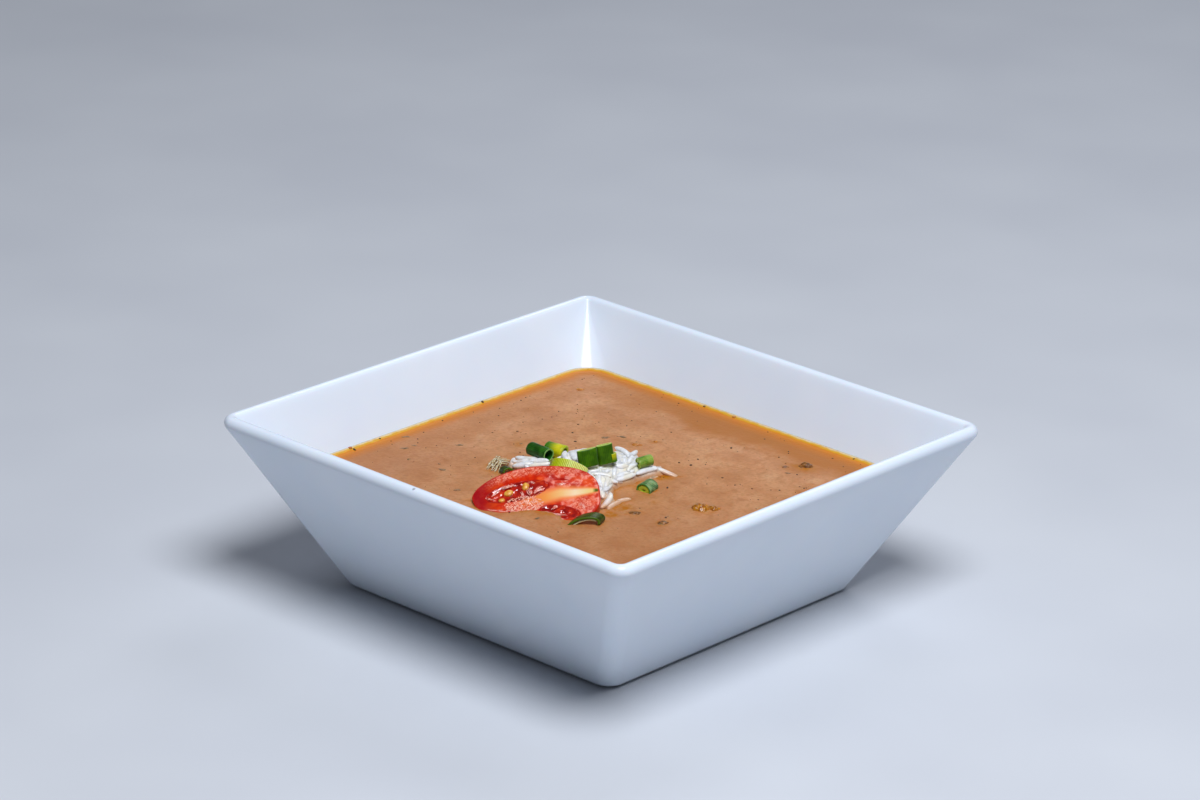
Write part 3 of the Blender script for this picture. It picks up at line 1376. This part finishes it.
# %% [markdown]
# Rice is white but lets light in, so most of its colour comes from scattering under the surface, and
# its edges look soft. Where a grain dips into the gumbo it is stained by it. The stain is mixed in by
# the height above the table, broken up by noise so that it doesn't end in a line.
# %% Finish and make the rice
STAIN_FULL = 32.6
GRAIN_STAIN_TOP = 34.4
MASS_STAIN_TOP = 35


def rice_finish(name, dark, light, stained, stain_top):
    rice = new_finish(name, Roughness=0.35, Coat_Weight=0.15, Coat_Roughness=0.15)
    wear(rice, Subsurface_Weight=0.5, Subsurface_Scale=0.0012, Subsurface_Radius=(1, 0.9, 0.8))
    white = ramp(rice, grain_of(rice, 1.4), (0.35, dark), (0.65, light))
    white = tinted(rice, white, between(rice, grain_of(rice, 5), 0.5, 0.64), 0.5, "eadfc0")
    height = node(rice, "SeparateXYZ", Vector=place(rice)).outputs["Z"]
    uneven = calculate(rice, "MULTIPLY", grain_of(rice, 3), 1.6 * MM)
    stain = between(rice, calculate(rice, "SUBTRACT", height, uneven), stain_top * MM, STAIN_FULL * MM)
    wear(rice, Base_Color=tinted(rice, white, stain, 0.85, stained))
    return relief(rice, grain_of(rice, 0.35), 0.03)


grain_forms = laid_grains(toppings, random.Random(11))
grain_finish = rice_finish("rice_grain", "dadada", "ececee", "cf9b6c", GRAIN_STAIN_TOP)
grains = make_piece("rice_grains", gather(grain_forms), grain_finish)
mass_finish = rice_finish("rice_mass", "e2dccc", "eeebe4", "c4823e", MASS_STAIN_TOP)
rice_core = make_piece("rice_core", heap_core_shape(toppings, tree_of([grains])), mass_finish)
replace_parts(grains, "rice")
print("Grains of rice:", len(grain_forms))

# %% [markdown]
# ## The soup
# The gumbo fills the bowl to its level, climbs a little at the wall and round everything that stands
# in it, and has a few lumps just under its skin. Its surface is a net of rings that follow the wall,
# closer together near it, and every point gets a height. The lower part follows the cavity, so that
# the soup is a closed body.
# %% Height of the soup's surface
MENISCUS_HEIGHT = 0.4
MENISCUS_WIDTH = 2.2
CONTACT_REACH = 3
CONTACT_RISE = 0.15
CONTACT_RISE_WIDTH = 0.5
RIPPLES = ((0.07, 0.11), (0.03, 0.4))
WALL_GAP = 0.3
LUMP_SWELL = 0.25
SOUP_SWELLS = [
    ((-31, -26), (10, 7), -0.65), ((-16, -28.5), (6.5, 6), 0.55), ((-8, -32), (4.5, 4), -0.4),
]
LUMPS = [
    ((27.4, -21.4), (2.8, 2.6, 1.9)), ((30.9, -21.2), (1.9, 1.6, 1.2)), ((57.2, 12.5), (2.2, 1.8, 1.5)),
    ((51.4, 11.8), (1, 0.8, 0.5)), ((17.1, -31.8), (1.6, 1.3, 0.6)), ((9.5, -25.5), (1.8, 1.3, 0.5)),
]
soup_half = inner_half(SOUP_LEVEL + MENISCUS_HEIGHT)


def wall_distance(x, y):
    """How far a place in the soup is from the wall."""
    inset = soup_half - CAVITY_CORNER
    dx, dy = abs(x) - inset, abs(y) - inset
    outside = math.hypot(max(dx, 0), max(dy, 0)) + min(max(dx, dy), 0)
    return CAVITY_CORNER - outside


def contact(tree, x, y, width):
    """1 at whatever stands in the soup, falling off over that width."""
    found = tree.find_nearest(Vector((x, y, SOUP_LEVEL)), CONTACT_REACH)
    return 0 if found[0] is None else math.exp(-found[3] / width)


def soup_height(tree, x, y):
    """Height over the soup's level."""
    height = MENISCUS_HEIGHT * max(1 - wall_distance(x, y) / MENISCUS_WIDTH, 0) ** 2
    ripple = sum(rise * noise.noise(Vector((x, y, 0)) * scale) for rise, scale in RIPPLES)
    height += ripple * fade(wall_distance(x, y), 4, 1)
    height += CONTACT_RISE * contact(tree, x, y, CONTACT_RISE_WIDTH)
    local = in_garnish(x, y)
    for centre, radii, rise in SOUP_SWELLS:
        height += rise * oval(local.x, local.y, centre, radii)
    for centre, radii in LUMPS:
        height += LUMP_SWELL * radii[2] * fade(oval_reach(local.x, local.y, centre, radii), 0.6, 1.6)
    return height


print("The soup has", len(LUMPS), "lumps and", len(SOUP_SWELLS), "low swells")

# %% Shape of the soup
EDGE_BAND = 6
EDGE_RINGS = 24
INNER_RINGS = 96


def surface_outlines():
    """Outlines of the surface from the wall to the middle."""
    insets = [EDGE_BAND * i / EDGE_RINGS for i in range(EDGE_RINGS)]
    edge = [square_outline(soup_half - inset, CAVITY_CORNER - inset) for inset in insets]
    last = square_outline(soup_half - EDGE_BAND, CAVITY_CORNER - EDGE_BAND)
    shares = [1 - i / INNER_RINGS for i in range(INNER_RINGS)]
    return edge + [[point * share for point in last] for share in shares]


def soup_rings(tree):
    lower = list(reversed(floor_fillet(FLOOR_FILLET - WALL_GAP)))
    lower += climb(lower[-1][1], SOUP_LEVEL, lambda z: inner_half(z) - WALL_GAP)
    rings = [ring_at(half, z, inner_corner(z)) for half, z in lower]
    for outline in surface_outlines():
        rings.append([(x, y, SOUP_LEVEL + soup_height(tree, x, y)) for x, y in outline])
    return rings


print("The soup's surface has", EDGE_RINGS + INNER_RINGS, "rings")

# %% [markdown]
# A creamy gumbo is a tan liquid full of fine solids, so light goes a short way in and comes out soft
# and warm. Its own shine is kept weak, because a strong one turns it grey at this low angle. Orange
# fat gathers as a bright line along the wall, in a thin ring round the rice, and in a few spots. The tan
# is a little deeper to the front and the left, and warmer near the walls, most at the right. Four marks
# on each point say how far the wall is, how much fat floats there, and how deep and how warm it is.
# %% Marks of the soup
FAT_SPOTS = [
    ((9.5, 25.6), (2.2, 2), 0.8), ((15, 28), (3, 2), 0.35), ((-26.5, 6), (7, 8), 0.75),
    ((-21, 8), (5, 5), 0.8), ((17, 1), (5, 3), 1), ((12, -6), (6, 5), 0.5),
    ((5.7, -21.5), (5, 3.5), 1), ((3, -27), (4, 3), 0.9), ((-23, 23), (4, 4), 0.35),
    ((15.3, -17.2), (2.5, 3), 0.4), ((-20, -27), (12, 4), 0.35), ((28.4, -21.4), (5, 4.5), 0.9),
    ((57, 12), (4, 3.5), 0.6), ((17.1, -31.8), (3, 3), 0.6), ((9.5, -25.5), (4, 3), 0.5),
]
CONTACT_FAT = 0.6
CONTACT_FAT_WIDTH = 0.9
FRONT_DEEPENS = (-60, 15)
LEFT_DEEPENS = (-75, -15)
RIGHT_WARMS = (30, -5)
WARMTHS = (0.3, 0.9)


def fat_amount(tree, x, y):
    local = in_garnish(x, y)
    amount = CONTACT_FAT * contact(tree, x, y, CONTACT_FAT_WIDTH)
    for centre, radii, strength in FAT_SPOTS:
        amount = max(amount, strength * fade(oval_reach(local.x, local.y, centre, radii), 0.2, 1))
    return amount


def soup_marks(tree, points):
    rows = []
    for x, y, z in points:
        across, away, _ = in_garnish(x, y, z)
        fat = fat_amount(tree, x, y) if z > SOUP_LEVEL - 1 else 0
        deep = max(fade(away, *FRONT_DEEPENS), fade(across, *LEFT_DEEPENS))
        warm = between_values(*WARMTHS, fade(across, *RIGHT_WARMS))
        rows.append((wall_distance(x, y), fat, deep, warm))
    return shared_marks(("from_wall", "fat", "deep", "warm"), rows)


print("Spots where fat gathers:", len(FAT_SPOTS))

# %% Finish of the soup
WALL_FAT = [(7.5, 3, "be6e12"), (4, 1.8, "ce7c0c"), (1.9, 1, "d49c24"), (0.9, 0.2, "ddc49c")]
WARM_REACH = (20, 12)
WARM_DRIFT = 14


def tan_of_soup(soup):
    """The creamy tan with its fine solids and darker streaks."""
    tan = ramp(soup, grain_of(soup, 9, 3), (0.32, "b67c50"), (0.5, "c2895d"), (0.68, "ca956a"))
    tan = tinted(soup, tan, between(soup, grain_of(soup, 0.9, 4), 0.42, 0.66), 0.4, "a56f44")
    tan = tinted(soup, tan, between(soup, grain_of(soup, 3, 4), 0.52, 0.7), 0.5, "a66c40")
    return tinted(soup, tan, mark(soup, "deep"), 0.45, "98603a")


def wall_distance_of(soup, size, detail, strength):
    """How far the wall is, made uneven by noise of that size."""
    noise_share = calculate(soup, "SUBTRACT", grain_of(soup, size, detail), 0.5)
    drift = calculate(soup, "MULTIPLY", noise_share, strength)
    return calculate(soup, "SUBTRACT", mark(soup, "from_wall"), drift)


def soup_finish():
    soup = new_finish("gumbo", Roughness=0.3, Specular_IOR_Level=0.1)
    wear(soup, Subsurface_Weight=0.25, Subsurface_Scale=0.0015)
    near_wall = between(soup, wall_distance_of(soup, 12, 3, WARM_DRIFT), *WARM_REACH)
    warm = calculate(soup, "MULTIPLY", near_wall, mark(soup, "warm"))
    base = blend(soup, warm, tan_of_soup(soup), tint("a8641a"))
    patch = calculate(soup, "ADD", between(soup, grain_of(soup, 2.2, 3), 0.4, 0.6), 0.7)
    base = blend(soup, calculate(soup, "MULTIPLY", mark(soup, "fat"), patch), base, tint("ac6812"))
    wall = wall_distance_of(soup, 2.5, 2, 1)
    for start, end, colour in WALL_FAT:
        base = blend(soup, between(soup, wall, start, end), base, tint(colour))
    wear(soup, Base_Color=base)
    return relief(soup, grain_of(soup, 1.1, 4), 0.05)


standing = tree_of([flesh, onion, grains, rice_core, *scallions])
soup_points, soup_faces = skin_rings(soup_rings(standing))
soup_rows = soup_marks(standing, soup_points)
soup = make_piece("gumbo_soup", (soup_points, soup_faces), soup_finish(), soup_rows)
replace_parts(soup, "soup")

# %% [markdown]
# ## Lumps, herbs, pepper and fat beads
# Small things float in the gumbo: amber and brown lumps that glisten, dull flakes of herb that lie
# flat and half sunk, and fine specks of pepper. The ones that stand out are placed by hand, and the
# fine specks are strewn. All of them sit on the surface that the soup really has, which a ray from
# above finds.
# %% Helper that finds the surface
WALL_CLEARANCE = 0.4
surface = tree_of([soup])


def on_soup(across, away):
    """The place on the soup's surface under a spot of the garnish frame, kept off the wall."""
    high = garnish @ Vector((across, away, 10))
    reach = soup_half - WALL_CLEARANCE
    high.x, high.y = (min(max(value, -reach), reach) for value in (high.x, high.y))
    return surface.ray_cast(high, DOWN)[0]


def rough_ball(at, radii, turn, roughness, sides=14, rings=9):
    points, faces = ball(radii, sides, rings)
    seat = Matrix.Translation(at) @ Matrix.Rotation(turn, 4, "Z")
    shift = Vector(at) * 1.7
    bumpy = [Vector(p) * (1 + roughness * noise.noise(Vector(p) * 1.4 + shift)) for p in points]
    return moved(bumpy, seat), faces


print("Behind the heap the soup stands", round(on_soup(0, 50).z, 2), "mm above the table")

# %% Make the lumps and the fat beads
LUMP_KINDS = {
    "amber": (LUMPS[:2], ("8a4c04", "bc7c14"), 0.3),
    "brown": (LUMPS[2:], ("663f1c", "9a6630"), 0.03),
}
LUMP_SINK = 0.25
LUMP_ROUGHNESS = 0.25
FAT_BEADS = [
    (-6.8, 68.6, 1.3), (9.5, 25.6, 1.2), (10.8, 25.3, 0.7), (37.7, 49.4, 0.6), (-70.8, 15.7, 0.6),
    (28.5, -20.4, 0.6), (15.1, 28.3, 0.6),
]
BEAD_HEIGHT = 0.35
BEAD_ROUGHNESS = 0.1


def lump_shape(lump):
    (across, away), radii = lump
    at = garnish @ Vector((across, away, -LUMP_SINK * radii[2]))
    return rough_ball(at, radii, GARNISH_TURN, LUMP_ROUGHNESS, 36, 24)


def bead_shape(bead):
    across, away, size = bead
    return rough_ball(on_soup(across, away), (size, size, BEAD_HEIGHT), 0, BEAD_ROUGHNESS)


def lump_finish(name, dark, light, gloss):
    return speckled(
        name, 0.9, (0.35, dark), (0.68, light), Roughness=0.35, Specular_IOR_Level=0.3,
        Coat_Weight=gloss, Coat_Roughness=0.06, Subsurface_Weight=0.3, Subsurface_Scale=0.001)


for kind, (lumps, colours, gloss) in LUMP_KINDS.items():
    finish = lump_finish("lump_" + kind, *colours, gloss)
    make_piece("lumps_" + kind, gather([lump_shape(lump) for lump in lumps]), finish)
bead_finish = lump_finish("fat_bead", "a05c1c", "cc8c40", 0.1)
make_piece("fat_beads", gather([bead_shape(bead) for bead in FAT_BEADS]), bead_finish)

# %% Make the herb flakes
HERB_FLAKES = [
    (-55.3, 17, 2.6, 20), (-52.5, 19.5, 2.4, -30), (-55.2, 25.6, 3, 0), (-40.2, 21, 2.6, 10),
    (-43.9, 2, 2.6, -15), (-39.3, -12.9, 2.2, 5), (-23, 23.2, 2, 30), (0.8, 30.2, 3.2, 10),
    (5.5, 31.2, 3, -10), (-16.6, -32.2, 2, 10), (16.7, -32.8, 2, 0), (51.9, 7.4, 1.8, 0),
    (18.4, -27.2, 1.4, 40), (-53.6, 8.7, 1.4, 60), (-45, 6, 1.2, -50),
]
HERB_STRIP = 5
HERB_WIDTHS = (0.3, 0.5)
HERB_BEND = 0.15
HERB_WAVES = (-0.05, 0.08)
HERB_FLATNESS = 0.12


def flake_shape(flake, dice):
    """A thin bent leaf crumb that lies in the soup's skin."""
    across, away, length, turn = flake
    at = on_soup(across, away)
    width = length * dice.uniform(*HERB_WIDTHS)
    spots = []
    for i in range(HERB_STRIP + 1):
        along = length * (i / HERB_STRIP - 0.5)
        aside = length * dice.uniform(-HERB_BEND, HERB_BEND)
        spots.append(Vector((along, aside, dice.uniform(*HERB_WAVES))))
    points, faces = cord_shape(smooth_route(spots, 3), tapered_ends(width / 2), HERB_FLATNESS)
    seat = Matrix.Translation(at) @ Matrix.Rotation(GARNISH_TURN + math.radians(turn), 4, "Z")
    return moved(points, seat), faces


herb_dice = random.Random(5)
flake_forms = [flake_shape(flake, herb_dice) for flake in HERB_FLAKES]
herb = speckled(
    "herb_flake", 0.8, (0.35, "6a5a38"), (0.5, "86684a"), (0.68, "a07a54"),
    Roughness=0.45, Specular_IOR_Level=0.25)
make_piece("herb_flakes", gather(flake_forms), herb)

# %% Make the pepper
PEPPER_SEEN = [
    (-34.7, 54.9, 0.5), (-69.2, 14.8, 0.55), (-45.6, 39.6, 0.3), (-62.5, 23.5, 0.3), (-51.9, 24.4, 0.35),
    (-6.9, 39.7, 0.35), (-7.5, 26.3, 0.4), (-31.1, 31.3, 0.3), (-24.1, 32.8, 0.3), (-8.4, 33.1, 0.3),
    (29.2, 57.1, 0.45), (36.5, 25.3, 0.45), (27, 15.8, 0.35), (25, 11, 0.45), (21.7, 12.7, 0.35),
    (33.7, 2.4, 0.4), (37.1, -2.7, 0.35), (41.7, -5.2, 0.35), (18.4, -6.4, 0.45), (17.9, -28, 0.45),
    (49.8, 19.2, 0.35), (52.6, 22.4, 0.3), (64.9, 19.7, 0.35), (70.8, 19.6, 0.35), (56.2, -3.6, 0.35),
]
PEPPER_STREWN = 260
PEPPER_SIZES = (0.1, 0.27)
PEPPER_LENGTHS = (0.8, 1.3)
PEPPER_WIDTHS = (0.6, 1)
PEPPER_HEIGHT = 0.6
PEPPER_ROUGHNESS = 0.5
PEPPER_FACETS = (7, 5)


def strewn_pepper(dice):
    reach = soup_half - 1
    spots = []
    while len(spots) < PEPPER_STREWN:
        spot = Vector((dice.uniform(-reach, reach), dice.uniform(-reach, reach), SOUP_LEVEL))
        local = in_garnish(*spot)
        if wall_distance(spot.x, spot.y) > 0.5:
            spots.append((local.x, local.y, dice.uniform(*PEPPER_SIZES)))
    return spots


def pepper_shape(speck, dice):
    across, away, size = speck
    length, width = size * dice.uniform(*PEPPER_LENGTHS), size * dice.uniform(*PEPPER_WIDTHS)
    radii = (length, width, size * PEPPER_HEIGHT)
    turn = dice.uniform(0, math.pi)
    return rough_ball(on_soup(across, away), radii, turn, PEPPER_ROUGHNESS, *PEPPER_FACETS)


pepper_dice = random.Random(23)
specks = PEPPER_SEEN + strewn_pepper(pepper_dice)
speck_forms = [pepper_shape(speck, pepper_dice) for speck in specks]
pepper = speckled("pepper", 4, (0.4, "38241a"), (0.6, "6e4a2c"), Roughness=0.6)
make_piece("pepper_specks", gather(speck_forms), pepper)
